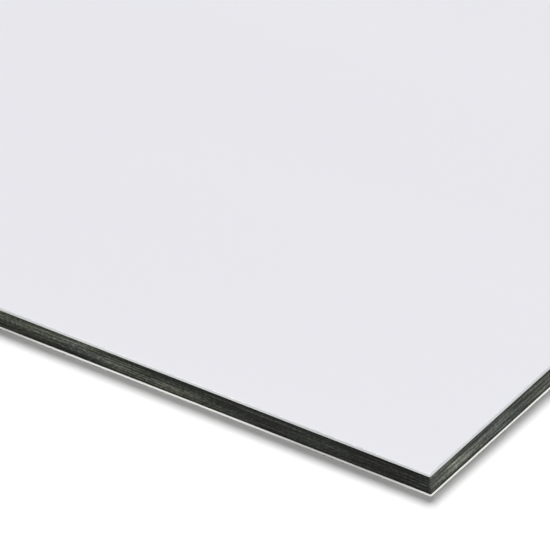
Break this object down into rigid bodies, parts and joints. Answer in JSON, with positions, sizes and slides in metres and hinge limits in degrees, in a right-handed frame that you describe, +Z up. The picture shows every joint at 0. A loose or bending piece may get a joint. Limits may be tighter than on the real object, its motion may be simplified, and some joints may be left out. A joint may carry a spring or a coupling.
{
  "type": "aluminium composite panel",
  "caption": "Flat cladding and sign sheet: white coated aluminium skins bonded on a dark polyethylene core, with bare cut edges.",
  "frame": {"origin": "centre of the back face, on the floor that the sheet lies on", "axes": "+X along the 2440 mm length, +Y along the 1220 mm width, +Z up out of the white face"},
  "size_m": [2.44, 1.22, 0.004],
  "materials": {
    "face_coating": "satin",
    "core_polyethylene": "matte",
    "back_coating": "matte"
  },
  "bodies": {
    "root": {"face_skin": "face_coating", "core": "core_polyethylene", "back_skin": "back_coating"}
  },
  "joints": []
}
